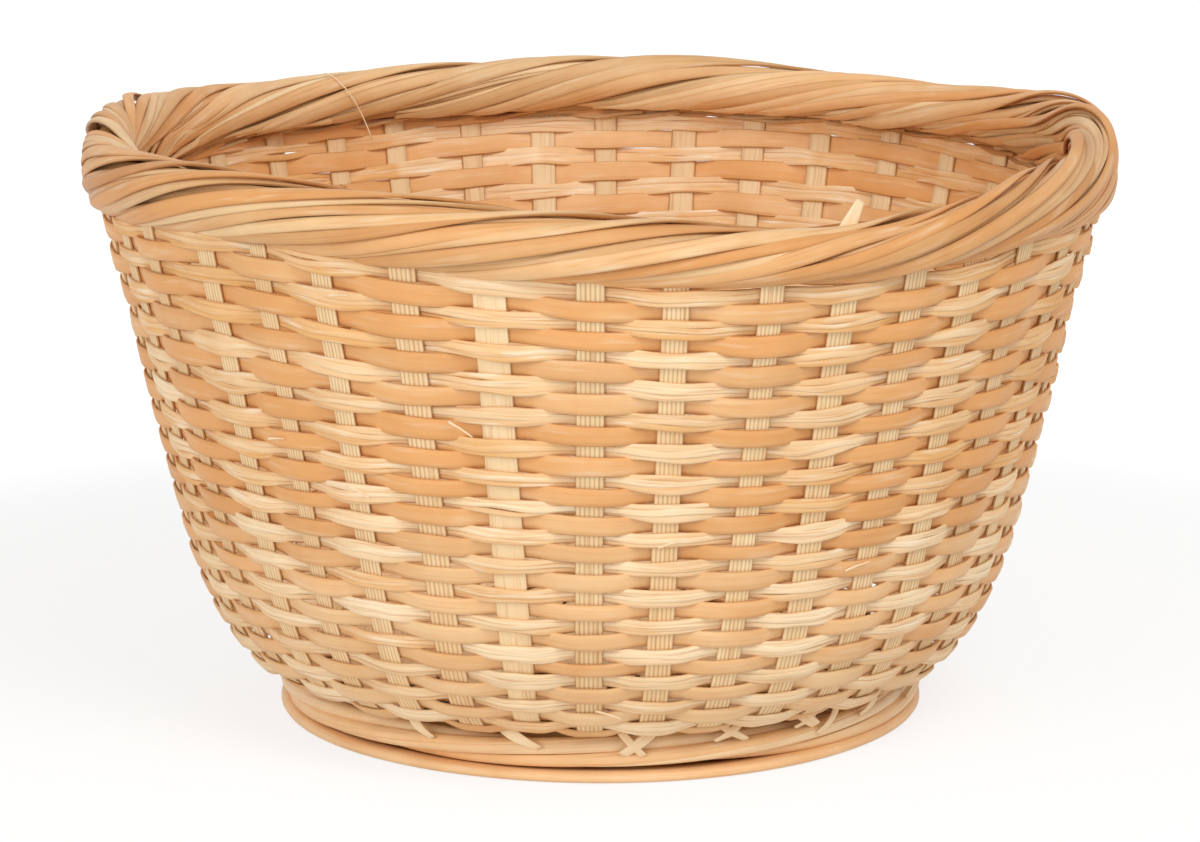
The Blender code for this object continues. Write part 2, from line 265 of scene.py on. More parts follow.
class Piece:
    """Strips of cane gathered as arrays, made into one object at the end."""

    def __init__(self):
        self.points, self.faces, self.uv = [], [], []
        self.values = {"tone": [], "shade": []}
        self.count = 0

    def grid(self, points, along, across, tone, shade=1.0, closed=False):
        """Rows of points, each row one section; along is each row's length and across each column's place."""
        rows, columns = points.shape[:2]
        faces = grid_faces(rows, columns, closed)
        corners = points.reshape(-1, 3)
        middle = corners.mean(0)
        volume = 0
        for triangle in ((0, 1, 2), (0, 2, 3)):
            a, b, c = (corners[faces[:, k]] - middle for k in triangle)
            volume += np.einsum("ij,ij->i", a, np.cross(b, c)).sum()
        row, column = np.divmod(faces, columns)
        v = np.broadcast_to(across, (rows, columns))
        u = np.append(along, 2 * along[-1] - along[-2]) if closed else along
        lift = np.where((row == 0) & (row.max(1, keepdims=True) == rows - 1), rows, 0) if closed else 0
        uv = np.stack([u[row + lift], v[row, column]], -1)
        first_row, last_row = (list(range(row * columns, (row + 1) * columns)) for row in (0, rows - 1))
        ends = [] if closed else [first_row[::-1], last_row]
        if volume < 0:
            faces, uv = faces[:, ::-1], uv[:, ::-1]
            ends = [end[::-1] for end in ends]
        self.points.append(corners)
        self.faces += (faces + self.count).tolist()
        self.uv.append(uv.reshape(-1, 2))
        for end in ends:
            self.faces.append([k + self.count for k in end])
            side = np.array(end)
            self.uv.append(np.stack([u[side // columns], v[side // columns, side % columns]], -1))
        for name, value in (("tone", tone), ("shade", shade)):
            value = np.asarray(value, float)
            value = value if value.ndim == 2 else np.reshape(value, (-1, 1))
            self.values[name].append(np.broadcast_to(value, (rows, columns)).ravel())
        self.count += rows * columns

    def strip(self, centres, across, width, thickness, section, closed=False, shift=0.0, **looks):
        """One strip along the centres; section is its outline as shares of its width and thickness."""
        run = np.roll(centres, -1, 0) - np.roll(centres, 1, 0) if closed else np.gradient(centres, axis=0)
        tangent = unit(run)
        through = unit(np.cross(tangent, across))
        across = np.cross(through, tangent)
        wide = np.broadcast_to(np.asarray(width, float), len(centres))[:, None] * section[:, 0]
        thick = np.broadcast_to(np.asarray(thickness, float), len(centres))[:, None] * section[:, 1]
        points = centres[:, None] + across[:, None] * wide[..., None] + through[:, None] * thick[..., None]
        steps = np.linalg.norm(np.diff(centres, axis=0), axis=1)
        along = shift + np.concatenate([[0], np.cumsum(steps)])
        self.grid(points, along, wide, closed=closed, **looks)

    def make(self, name, material, slot, *nodes):
        """The object, which rides on the basket and stands for its solids."""
        mesh = bpy.data.meshes.new(name)
        mesh.from_pydata(np.concatenate(self.points).tolist(), [], self.faces)
        mesh.uv_layers.new(name="strip").data.foreach_set("uv", np.concatenate(self.uv).ravel())
        for key, parts in self.values.items():
            layer = mesh.attributes.new(key, "FLOAT", "POINT")
            layer.data.foreach_set("value", np.concatenate(parts).astype(np.float32))
        mesh.shade_smooth()
        mesh.materials.append(material)
        piece = bpy.data.objects.new(name, mesh)
        bpy.context.scene.collection.objects.link(piece)
        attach(piece, "root")
        if nodes:
            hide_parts(*nodes)


def domed(face_points=7, crown=0.42, power=3.0):
    """Outline of a split strip: a crowned face, thin rounded edges and a flat back."""
    a = np.sin(np.linspace(-math.pi / 2, math.pi / 2, face_points)) / 2
    face = np.stack([a, 0.5 - crown * np.abs(2 * a) ** power], 1)
    back = np.array([(0.43, -0.44), (0.2, -0.5), (-0.2, -0.5), (-0.43, -0.44)])
    return np.concatenate([face, back])


# How steeply a strip's painted edge shade darkens it toward its edges
EDGE_POWER = 8


def painted_edge_shade(section, strength):
    """Painted shade over the outline of a strip: darker along both edges, partly for the shadow where strips
    meet and partly for dust.
    """
    return 1 - strength * np.minimum(np.abs(2 * section[:, 0]), 1) ** EDGE_POWER


# Ridges along a stake, and across each the places of its groove and of both ends of its flat. Depth and crown
# are shares of the stake's thickness.
RIDGES = 6
RIDGE_PLACES = np.array([0, 0.28, 0.72])
GROOVE_DEPTH = 0.06
# The grooves are darkened: painted shade where shade falls into them
GROOVE_PAINTED_SHADE = 0.70
STAKE_CROWN = 0.3
STAKE_CROWN_POWER = 6


def grooved():
    """Outline of a stake, flat ridges with narrow grooves between them and a flat back, and its shade:
    painted shade in the grooves.
    """
    step = np.arange(len(RIDGE_PLACES) * RIDGES + 1)
    ridge, place = np.divmod(step, len(RIDGE_PLACES))
    a = (ridge + RIDGE_PLACES[place]) / RIDGES - 0.5
    edge = np.abs(2 * a) ** STAKE_CROWN_POWER
    valley = np.where(place == 0, GROOVE_DEPTH, 0)
    face = np.stack([a, 0.5 - valley - STAKE_CROWN * edge], 1)
    back = np.array([(0.44, -0.45), (0.2, -0.5), (0, -0.46), (-0.2, -0.5), (-0.44, -0.45)])
    shade = np.concatenate([np.where(place == 0, GROOVE_PAINTED_SHADE, 1.0), np.ones(len(back))])
    return np.concatenate([face, back]), shade


# Sockets of a colour Mix node, where several have the same name
MIX_FACTOR, MIX_FIRST, MIX_SECOND, MIX_RESULT = 0, 6, 7, 2


class Wire:
    """An output in a material. Sums on it add Math nodes, and add() puts in any other node."""

    def __init__(self, tree, socket=None):
        self.tree = tree
        self.socket = socket

    def add(self, kind, settings=None, inputs=None, output=0):
        node = self.tree.nodes.new("ShaderNode" + kind)
        for name, value in (settings or {}).items():
            setattr(node, name, value)
        for name, value in (inputs or {}).items():
            if isinstance(value, Wire):
                self.tree.links.new(value.socket, node.inputs[name])
            else:
                node.inputs[name].default_value = value
        return Wire(self.tree, node.outputs[output] if node.outputs else None)

    def math(self, operation, first, second):
        return self.add("Math", {"operation": operation}, {0: first, 1: second})

    def __add__(self, other):
        return self.math("ADD", self, other)

    def __sub__(self, other):
        return self.math("SUBTRACT", self, other)

    def __rsub__(self, other):
        return self.math("SUBTRACT", other, self)

    def __mul__(self, other):
        return self.math("MULTIPLY", self, other)

    def __pow__(self, other):
        return self.math("POWER", self, other)

    __radd__ = __add__
    __rmul__ = __mul__

    def clamped(self):
        return self.add("Clamp", {}, {"Value": self})

    def between(self, low, high):
        """0 below low, 1 above high, smooth between."""
        ends = {"Value": self, "From Min": low, "From Max": high, "To Min": 0.0, "To Max": 1.0}
        return self.add("MapRange", {"interpolation_type": "SMOOTHSTEP"}, ends)

    def mix(self, first, second):
        """The first colour where this is 0, the second where it is 1."""
        colours = {MIX_FIRST: solid(first), MIX_SECOND: solid(second), MIX_FACTOR: self}
        return self.add("Mix", {"data_type": "RGBA"}, colours, MIX_RESULT)

    def times(self, other):
        """This colour multiplied by another."""
        colours = {MIX_FACTOR: 1.0, MIX_FIRST: self, MIX_SECOND: other}
        return self.add("Mix", {"data_type": "RGBA", "blend_type": "MULTIPLY"}, colours, MIX_RESULT)


def solid(colour):
    return (*colour, 1.0) if isinstance(colour, tuple) else colour


# Fibre patterns, as repeats a metre along and across a strip. The fine and broad ones have no number across,
# because that comes from the cane's own grain, which BROAD_GRAIN makes coarser.
FINE_FIBRES = {"along": 34, "detail": 3.0}
BROAD_FIBRES = {"along": 45, "shift": 3.1}
BROAD_GRAIN = 0.35
LONG_FIBRES = {"along": 9, "across": 260, "shift": 7.7}
FLECKS = {"along": 22, "across": 1500, "shift": 11.3}
FIBRE_ROUGHNESS = 0.55

# Blotches in any direction, as repeats a metre
BLOTCHES = {"Scale": 45.0, "Detail": 3.0, "Roughness": 0.6}
PATCHES = {"Scale": 11.0, "Detail": 2.0, "Roughness": 0.5}
PATTERN_MIDDLE = 0.5

# How far each pattern moves a strip between its two colours
BLOTCH_TONE = 0.45
PATCH_TONE = 0.35
LONG_TONE = 0.6

# Levels of a pattern between which the fibres of a colour come in
STRAW_LEVELS = (0.52, 0.78)
AMBER_LEVELS = (0.50, 0.25)
BROWN_LEVELS = (0.70, 0.84)

# Blotches lighten and darken the cane, and so does the shade attribute, which carries painted shade and
# painted
# light. What is darker is redder: green and blue fall by these powers
BLOTCH_DARKEST = 0.90
BLOTCH_SHADE = 0.2
GREEN_POWER = 1.4
BLUE_POWER = 2.0

# Surface: height and roughness of the fibres, and gloss
FINE_RELIEF = 0.6
BROAD_RELIEF = 0.8
RELIEF_DEPTH = 0.4 * MM
SMOOTHEST_BY = 0.08
ROUGHNESS_SPREAD = 0.2
COAT_ROUGHNESS = 0.45
SPECULAR = 0.35


def cane(name, honey, cream, streaks, pale, roughness, sheen=0.0, bump=0.35, fleck=0.5, grain=2100):
    """Split cane: fibres along the strip, blotches, and a tone and shade of each strip's own; the shade also
    carries the painted shade and light that the pieces give it.
    """
    material = bpy.data.materials.new(name)
    material.use_nodes = True
    tree = material.node_tree
    tree.nodes.clear()
    start = Wire(tree)
    strip = start.add("UVMap", {"uv_map": "strip"})
    place = start.add("TexCoord", output="Object")
    tone = start.add("Attribute", {"attribute_name": "tone"}, output="Fac")
    shade = start.add("Attribute", {"attribute_name": "shade"}, output="Fac")

    def fibres(along, across, detail=2.0, shift=0.0):
        ends = {"Vector": strip, "Location": (shift, shift, 0), "Scale": (along, across, 1)}
        stretched = start.add("Mapping", {}, ends)
        return start.add("TexNoise", {}, {"Vector": stretched, "Scale": 1.0, "Detail": detail,
                                          "Roughness": FIBRE_ROUGHNESS})

    fine = fibres(across=grain, **FINE_FIBRES)
    broad = fibres(across=BROAD_GRAIN * grain, **BROAD_FIBRES)
    long = fibres(**LONG_FIBRES)
    flecks = fibres(**FLECKS)
    blotch = start.add("TexNoise", {}, {"Vector": place, **BLOTCHES})
    patch = start.add("TexNoise", {}, {"Vector": place, **PATCHES})

    amount = tone + (blotch - PATTERN_MIDDLE) * BLOTCH_TONE + (patch - PATTERN_MIDDLE) * PATCH_TONE
    amount = amount + (long - PATTERN_MIDDLE) * LONG_TONE
    colour = amount.clamped().mix(honey, cream)
    colour = (broad.between(*STRAW_LEVELS) * pale).mix(colour, STRAW)
    colour = (fine.between(*AMBER_LEVELS) * streaks).mix(colour, AMBER)
    colour = (flecks.between(*BROWN_LEVELS) * fleck).mix(colour, BROWN)
    level = shade * (BLOTCH_DARKEST + blotch * BLOTCH_SHADE)
    tint = {"Red": level, "Green": level ** GREEN_POWER, "Blue": level ** BLUE_POWER}
    colour = colour.times(start.add("CombineColor", {}, tint))
    relief = fine * FINE_RELIEF + broad * BROAD_RELIEF
    normal = start.add("Bump", {}, {"Strength": bump, "Distance": RELIEF_DEPTH, "Height": relief})
    rough = (roughness - SMOOTHEST_BY) + fine * ROUGHNESS_SPREAD
    finish = {"Base Color": colour, "Roughness": rough, "Normal": normal, "Coat Weight": sheen,
              "Coat Roughness": COAT_ROUGHNESS, "Specular IOR Level": SPECULAR}
    start.add("OutputMaterial", {}, {"Surface": start.add("BsdfPrincipled", {}, finish)})
    return material


STAKE_CANE = cane("stake_cane", honey=(0.80, 0.48, 0.22), cream=(0.90, 0.69, 0.41), streaks=0.6, pale=0.3,
                  roughness=0.6, fleck=0.4, grain=1200)
WIDE_CANE = cane("wide_cane", HONEY, CREAM, streaks=0.3, pale=0.3, roughness=0.5, sheen=0.06, bump=0.25,
                 fleck=0.3, grain=1200)
NARROW_CANE = cane("narrow_cane", honey=(0.79, 0.43, 0.16), cream=(0.93, 0.72, 0.46), streaks=0.75, pale=0.95,
                   roughness=0.6, fleck=0.6, grain=1150)
BORDER_CANE = cane("border_cane", HONEY, CREAM, streaks=0.55, pale=0.5, roughness=0.5, sheen=0.06, bump=0.3,
                   fleck=0.5, grain=1200)
# The core's cane is dark brown: painted shade for the gaps between the border strips, where it shows
CORE_CANE_PAINTED_SHADE = cane("core_cane_painted_shade", honey=(0.44, 0.22, 0.08), cream=(0.62, 0.37, 0.17), streaks=0.6, pale=0.1,
                 roughness=0.7)
# The foot's cane is paler and brighter than the wall's: painted light for the foot, which lies in the shade
# of the wall above it
FOOT_CANE_PAINTED_LIGHT = cane("foot_cane_painted_light", honey=(0.90, 0.49, 0.20), cream=(0.96, 0.74, 0.46), streaks=0.4, pale=0.35,
                 roughness=0.48, sheen=0.08, bump=0.3, fleck=0.5, grain=1200)


# Stations of a splint over the base and up the wall, where its waves fade round the last crossing, in lays,
# and where it turns from the base's direction to the wall's, in stations
BEND_POINTS = 26
SPLINT_STEP = 3 * MM
MAT_FADE = (-0.4, 0.6)
TURN_STATIONS = (-4.0, 2.0)

# Where a splint changes from one stake's width to the other's, as shares of its length, and from its width in
# the base to that on the wall, as shares of half its length
OWN_WIDTH_FROM, OWN_WIDTH_TO = 0.35, 0.65
WALL_WIDTH_FROM, WALL_WIDTH_TO = 0.45, 0.6

# Tones and shades of the stakes. One stake, left of the middle of the front, is smooth and paler.
STAKE_TONE, STAKE_TONE_VARIES = 0.55, 0.25
STAKE_SHADES = (0.98, 1.05)
PLAIN_STAKE = -1
PLAIN_PALER = 0.2


def mat_wave(distance, place, phase):
    """Rise and fall of a splint that goes over and under those that cross it in the middle of the base."""
    crossing = distance / SPLINT_LAY
    return np.cos(math.pi * (crossing + phase + place))


def splint_half(side, place, phase, reach, level):
    """Centres and across directions of half a splint, from the middle of the base to its tip."""
    stake = side / STAKE_PITCH + place
    shift = place * SPLINT_LAY
    bend = shift / math.tan(place * STAKE_PITCH) if place else SPLINT_LAY / STAKE_PITCH
    straight = np.linspace(0, bend, BEND_POINTS)
    ahead, right = outward(np.float64(side)), outward(np.float64(side + math.pi / 2))
    mat = 1 - smoothstep(straight, *(reach + share * SPLINT_LAY for share in MAT_FADE))
    wave = mat_wave(straight, place, phase)
    height = BASE_HEIGHT + level * (1 - mat) + mat * LAYER_HEIGHT * wave
    first = straight[:, None] * ahead + shift * right + height[:, None] * UP
    from_radius = math.hypot(bend, shift)
    lengths = np.arange(from_radius + SPLINT_STEP, PROFILE.lengths[-1], SPLINT_STEP)
    radius, up, _, normal = PROFILE.at(lengths)
    azimuth = stake_azimuth(np.full(len(lengths), stake), lengths)
    rise = level * (1 - smoothstep(lengths, PROFILE.corner, PROFILE.corner + CORNER_RADIUS))
    second = in_plane(azimuth, radius + normal[0] * rise, up - normal[1] * rise)
    centres = np.concatenate([first, second])
    turn = np.concatenate([np.full(len(straight), side), azimuth])
    turning = smoothstep(np.arange(len(turn)), *(len(straight) + past for past in TURN_STATIONS))
    turn = side + (turn - side) * turning
    across = outward(turn + math.pi / 2)
    return centres, across


def make_stakes():
    """Each splint runs from one stake's tip down the wall, through the woven base and up again."""
    lower_count = SPLINT_COUNT // 2
    layers = ((lower_count, 0, -LAYER_HEIGHT), (SPLINT_COUNT - lower_count, math.pi / 2, LAYER_HEIGHT))
    section, painted_groove_shade = grooved()
    smooth_section = domed(9)
    number = 0
    for count, side, level in layers:
        crossers = SPLINT_COUNT - count
        reach = (crossers - 1) / 2 * SPLINT_LAY
        phase = (crossers - 1) / 2 + (count - 1) / 2 + (1 if level > 0 else 0)
        for k in range(count):
            place = k - (count - 1) / 2
            number += 1
            ahead, ahead_across = splint_half(side, place, phase, reach, level)
            behind, behind_across = splint_half(side + math.pi, -place, phase, reach, level)
            centres = np.concatenate([behind[:0:-1], ahead])
            across = np.concatenate([-behind_across[:0:-1], ahead_across])
            stations = len(centres)
            stake = int(round(side / STAKE_PITCH + place))
            here, there = (STAKE_WIDTHS[end % STAKE_COUNT] for end in (stake, stake + SPLINT_COUNT))
            share = smoothstep(np.arange(stations), OWN_WIDTH_FROM * stations, OWN_WIDTH_TO * stations)
            own = there * (1 - share) + here * share
            wall = smoothstep(np.abs(np.linspace(-1, 1, stations)), WALL_WIDTH_FROM, WALL_WIDTH_TO)
            width = SPLINT_WIDTH + (own - SPLINT_WIDTH) * wall
            plain = stake == PLAIN_STAKE
            tone = STAKE_TONE + STAKE_TONE_VARIES * RANDOM.random() + (PLAIN_PALER if plain else 0)
            piece = Piece()
            # The grooves get painted shade, and each stake a random shade of its own
            piece.strip(centres, across, width, -SPLINT_THICKNESS, smooth_section if plain else section,
                        shift=RANDOM.random(), tone=tone,
                        shade=RANDOM.uniform(*STAKE_SHADES) * (1.0 if plain else painted_groove_shade[None]))
            piece.make(f"stake_splint_{number:02d}", STAKE_CANE, "splint", f"splint_{number:02d}")


# How the weave starts, and how finely its weavers follow the stakes
FRONT_PHASE = 0.48
BASE_ROUNDS = 3.4
STATIONS_PER_STAKE = 8
WEAVER_THICKNESS = 0.85 * MM

# How the rows wander, sag at the sides, rise at the back and follow the border
SWAY = ripple(waves=9, around=9, along=60 * MM)
FINE_SWAY = ripple(waves=9, around=24, along=22 * MM)
ROW_TONE = ripple(waves=8, around=5, along=40 * MM)
SWAY_BY = 0.45 * MM
FINE_SWAY_BY = 0.18 * MM
EVEN_SWAY_BY = 0.9 * MM
EVEN_SWAYS = 4
SPREAD_REACH = 90 * MM
SPREAD_DROP = 1.6 * MM
SIDE_SAG = 1.0 * MM
BACK_RISE = 4.6 * MM
BACK_POWER = 1.2
BACK_REACH = 60 * MM
FOLLOW_REACH = 50 * MM
SLIM_FOLLOW = 1.3

# The fibres of a weaver: place across it and width as shares of its width, how proud it lies, and its tone
WHOLE = ((0.0, 1.0, 0.0, 0.0),)
SPLIT = ((-0.30, 0.50, 0.0, -0.12), (0.04, 0.46, 0.12 * MM, 0.14), (0.32, 0.46, -0.04 * MM, 0.0))
FIBRE_WANDER = [ripple(waves=9, around=45, along=6 * MM) for _ in SPLIT]
FIBRE_SWELL = [ripple(waves=9, around=40, along=6 * MM) for _ in SPLIT]
WHOLE_LOOSE = 0.25
WANDER_SHARE = 0.07
SWELL_LIFT = 0.07 * MM
SWELL_WIDTH = 0.18
WANDER_TONE = 0.07
FIBRE_TONE = 0.16

# A weaver's way over a stake and behind the next: gaps in stakes, and how closely it hugs them
CUT_GAP = 0.02
WIDEST_EDGE = 0.36
WEAVER_CLEARANCE = 0.08 * MM
HUG = 1.12 * MM
HUG_POWER = 0.85
OUT_VARIES = 0.12 * MM

# A weaver's width: widest over a stake, narrower low on the wall, where it is also thicker
PEAK_POWER = 0.9
LOW_ROWS = (42 * MM, 78 * MM)
LOW_NARROWER = 0.05
LOW_THICKER = 0.35
PEAK_VARIES = 0.09
WAIST_SHARE = 0.93
WAIST_VARIES = 0.02
ROW_SPREADS = (0.96, 1.35)
WEAVER_SECTION = domed(crown=0.36, power=4.0)

# How the tone and shade of the weavers change round the basket and from one length of cane to the next.
# Tone by row, by length of cane and over each stake, and shade by length of cane, vary at random as the
# cane's
# own. The rest is painted: shade at the sides, as a more orange tone; light at the back, lighter and more
# orange, which lights the inside of the back wall; shade where a weaver passes behind a stake; and shade
# along its edges.
ROW_TONE_BY = 0.10
CANE_TONE_BY = 0.10
OVER_TONE_BY = 0.06
SIDES_PAINTED_SHADE_TONE = -0.28
BACK_PAINTED_LIGHT_TONE = -0.08
CANE_SHADE_BY = 0.03
BEHIND_PAINTED_SHADE = 0.03
BACK_PAINTED_LIGHT = 0.12
WEAVER_EDGE_PAINTED_SHADE = 0.12
CANE_CROSSINGS = (9, 46)


def row_length(even, azimuth):
    """Length up the profile where a row really runs, for the length of evenly spaced rows.

    The rows stand wider apart near the border, sag a little at the sides, wander, and rise at the back, where
    the weave ends under the border. Near the border they also follow its rises and its thinner places.
    """
    climb = smoothstep(even, PROFILE.corner, PROFILE.top)
    share = np.clip((PROFILE.top - even) / SPREAD_REACH, 0, 1)
    sway = SWAY_BY * SWAY(azimuth, even) + FINE_SWAY_BY * FINE_SWAY(azimuth, even)
    sway = sway - EVEN_SWAY_BY * np.sin(EVEN_SWAYS * azimuth)
    sag = SIDE_SAG * np.sin(azimuth) ** 2
    back = (0.5 - 0.5 * np.cos(azimuth)) ** BACK_POWER
    rise = BACK_RISE * back * smoothstep(even, PROFILE.top - BACK_REACH, PROFILE.top)
    follow = border_rise(azimuth) + SLIM_FOLLOW * SLIM_BY * near(azimuth, SLIM_PLACE, SLIM_SPREAD)
    rise = rise + follow * smoothstep(even, PROFILE.top - FOLLOW_REACH, PROFILE.top)
    return even + (sway - sag) * climb - SPREAD_DROP * np.sin(math.pi * share) ** 2 + rise


def cane_lengths(count):
    """A value for each crossing that stays the same along one length of cane."""
    values = []
    while len(values) < count:
        values += [RANDOM.normal(0, 1)] * int(RANDOM.integers(*CANE_CROSSINGS))
    return np.clip(np.array(values[:count]), -2, 2)


def weaver_offset(stake, parity, radius, over_jitter):
    """How far out of the stakes' middle a weaver lies, and the cosine that is 1 over its own stakes."""
    out = np.cos(math.pi * (stake - parity))
    stake_width = (around(STAKE_WIDTHS, stake) + SPLINT_WIDTH) / 2
    edge_share = np.minimum(stake_width / 2 / (radius * STAKE_PITCH), WIDEST_EDGE)
    reach = (SPLINT_THICKNESS + WEAVER_THICKNESS) / 2 + WEAVER_CLEARANCE
    reach = reach / np.cos(math.pi * edge_share)
    offset = np.clip(reach * np.sign(out) * np.abs(out) ** HUG_POWER, -HUG, HUG)
    return offset + OUT_VARIES * over_jitter * np.maximum(out, 0), out


def make_weaver(label, kind, material, low_edge, own_width, parity, peak, waist, fibres, tones):
    """One of the two weavers, in the lengths of its solids; it lies outside the stakes of its parity."""
    rounds = int((PROFILE.top - (FOOT_RADIUS - WEAVE_INSET)) / PAIR_PITCH)
    crossings = rounds * STAKE_COUNT
    hidden = [c for c in range(crossings + 1) if (SPLINT_COUNT - c) % 2 != parity]
    cuts = [hidden[round(k * (len(hidden) - 1) / WEAVE_LENGTHS)] for k in range(WEAVE_LENGTHS + 1)]
    first = cuts[0] - 2 * int(BASE_ROUNDS * STAKE_COUNT / 2)
    total = crossings - first + 1
    out_jitter, peak_jitter, waist_jitter = RANDOM.normal(0, 1, (3, total + 1))
    lengths_tone = cane_lengths(total + 1)
    begin = PROFILE.top - PAIR_PITCH * (rounds + FRONT_PHASE)
    outer_first = (first - SPLINT_COUNT + parity) % 2
    loose = 1.0 if len(fibres) > 1 else WHOLE_LOOSE
    for k, (low, high) in enumerate(zip([first] + cuts[1:-1], cuts[1:])):
        c = np.linspace(low + CUT_GAP, high - CUT_GAP, (high - low) * STATIONS_PER_STAKE + 1)
        stake = SPLINT_COUNT - c
        even = begin + c / STAKE_COUNT * PAIR_PITCH + low_edge + own_width / 2
        azimuth = stake_azimuth(stake, even)
        length = row_length(even, azimuth)
        spread = (row_length(even + PAIR_PITCH, azimuth) - length) / PAIR_PITCH
        radius, height, along, normal = PROFILE.at(length)
        place = c - first
        crossing = place.astype(int)
        nearest = np.clip(2 * np.round((place - outer_first) / 2) + outer_first, 0, total).astype(int)
        offset, out = weaver_offset(stake, parity, radius, out_jitter[nearest])
        across = in_plane(azimuth, along[0], along[1])
        through = in_plane(azimuth, normal[0], normal[1])
        centres = in_plane(azimuth, radius, height) + through * offset[:, None]
        lens = ((1 + out) / 2) ** PEAK_POWER
        low_rows = 1 - smoothstep(height, *LOW_ROWS)
        full = peak * (1 - LOW_NARROWER * low_rows) * (1 + PEAK_VARIES * peak_jitter[nearest])
        narrow = waist * np.minimum(1, WAIST_SHARE + WAIST_VARIES * waist_jitter[nearest])
        width = (narrow + (full - narrow) * lens) * np.clip(spread, *ROW_SPREADS)
        thickness = WEAVER_THICKNESS * (1 + LOW_THICKER * low_rows)
        back = np.maximum(-np.cos(azimuth), 0)
        tone = tones[0] + (tones[1] - tones[0]) * low_rows + ROW_TONE_BY * ROW_TONE(azimuth, length)
        tone = tone + CANE_TONE_BY * lengths_tone[crossing] + OVER_TONE_BY * waist_jitter[nearest]
        # Painted shade at the sides and painted light at the back, in the tone
        tone = tone + SIDES_PAINTED_SHADE_TONE * np.sin(azimuth) ** 2 + BACK_PAINTED_LIGHT_TONE * back
        # Shade: random by length of cane, then painted shade behind the stakes, painted light at the back and
        # painted shade along the edges
        shade = 1.0 + CANE_SHADE_BY * lengths_tone[::-1][crossing] - BEHIND_PAINTED_SHADE * (1 - lens)
        shade = shade + BACK_PAINTED_LIGHT * back
        shade = shade[:, None] * painted_edge_shade(WEAVER_SECTION, WEAVER_EDGE_PAINTED_SHADE)[None]
        piece = Piece()
        for number, (side, share, proud, lighter) in enumerate(fibres):
            wander, swell = (field[number](azimuth, length) for field in (FIBRE_WANDER, FIBRE_SWELL))
            middle = side + WANDER_SHARE * loose * wander
            lift = proud + SWELL_LIFT * loose * swell
            fibre_tone = loose * (WANDER_TONE * wander + FIBRE_TONE * peak_jitter[nearest])
            piece.strip(centres + across * (middle * width)[:, None] + through * lift[:, None], across,
                        share * width * (1 + SWELL_WIDTH * loose * swell), thickness, WEAVER_SECTION,
                        shift=float(low) + number, tone=tone + lighter + fibre_tone, shade=shade)
        piece.make(f"{label}_{k + 1}", material, kind, f"{kind}_{k + 1}")


# Border: where the strips' middles lie on the roll, and how they wind round it
ROLL_HALF_WIDTH = 7.5 * MM
ROLL_HALF_HEIGHT = 8.8 * MM
ROLL_RADIUS = math.sqrt((ROLL_HALF_WIDTH ** 2 + ROLL_HALF_HEIGHT ** 2) / 2)
ROLL_START = math.radians(-97)
ROLL_END = math.radians(236)
ROLL_STAKES = 9.6
ROLL_THICKNESS = 1.1 * MM

# Where the roll is fuller, at both sides, and lower, at the shoulders of the back, in degrees
FLARE_PLACE, FLARE_SPREAD = 96, 24
FLARE_RISE = 5.4 * MM
FLARE_DROP = 5.0 * MM
SHOULDER_PLACE, SHOULDER_SPREAD = 138, 24
SHOULDER_SINK = 2.4 * MM

# The core under the strips, a bundle of tails with ridges that wind round it
CORE_ROWS = 6 * STAKE_COUNT
CORE_SIDES = 36
CORE_HOLLOW = 0.6 * MM
CORE_BULGE = 0.7
CORE_TONE = 0.3
BUNDLE_DEPTH = 0.35 * MM
BUNDLE_RIDGES = 9
BUNDLE_TURNS = 12

# Each border strip shows as narrower ones, given as how proud each lies and how much more so over the top,
# with as many deeper ones between them. Steps are in stakes.
STRIP_LAYERS = ((0.35 * MM, 1.1 * MM), (0.1 * MM, 0.5 * MM), (-0.15 * MM, -0.6 * MM))
STRIP_STEP = 0.66
LINING_STEP = 0.33
LINING_DEPTH = 1.1 * MM
STRIP_TONE = 0.28
LINING_TONE = 0.6

# Paler strips, as strip number: tone
PALE_STRIPS = {54: 0.9, 46: 1.0, 48: 0.8}

# The run of a strip: how its ends taper and sink, and how much it varies, with span and place in stakes and
# turn and drift in radians
STRIP_POINTS = 80
SPAN_VARIES = 1.1
PLACE_VARIES = 0.16
TURN_VARIES = 0.06
DRIFT = 0.10
DRIFT_WAVES = (1.0, 2.4)
END_SHARE = 0.07
END_WIDTH = 0.5
END_SINK = 1.7 * MM
STRIP_WIDTHS = (3.2 * MM, 4.8 * MM)
STRIP_SECTION = domed(9, crown=0.40, power=3.2)
TILTS = (0.08, 0.30)
TILT_BY = 0.10
TILT_WAVES = 1.9
LIFT_VARIES = 0.35 * MM
CREST_SPREAD = 0.7

# What is different at the left and right ends of the border, where the power keeps it close to the ends
END_POWER = 4
LEFT_TILT_LESS = 0.9
LEFT_LIFT_LESS = 0.5
RIGHT_TILT_VARIES = 0.3
RIGHT_LIFT_VARIES = 0.8 * MM
RIGHT_NARROWER = 0.28

# Tones and shades of the border strips. Tone along and between strips, and each strip's shade, vary at
# random;
# the rest is painted: shade at both ends, as a more orange tone; light at the left; light at the back, paler
# and brighter; and shade along the edges.
STRIP_TONE_VARIES = 0.24
STRIP_TONE_WAVE = 0.18
STRIP_ENDS_PAINTED_SHADE_TONE = -0.15
STRIP_BACK_PAINTED_LIGHT_TONE = 0.3
STRIP_SHADES = (0.74, 0.95)
STRIP_LEFT_PAINTED_LIGHT = 0.06
STRIP_BACK_PAINTED_LIGHT = 0.17
STRIP_EDGE_PAINTED_SHADE = 0.34


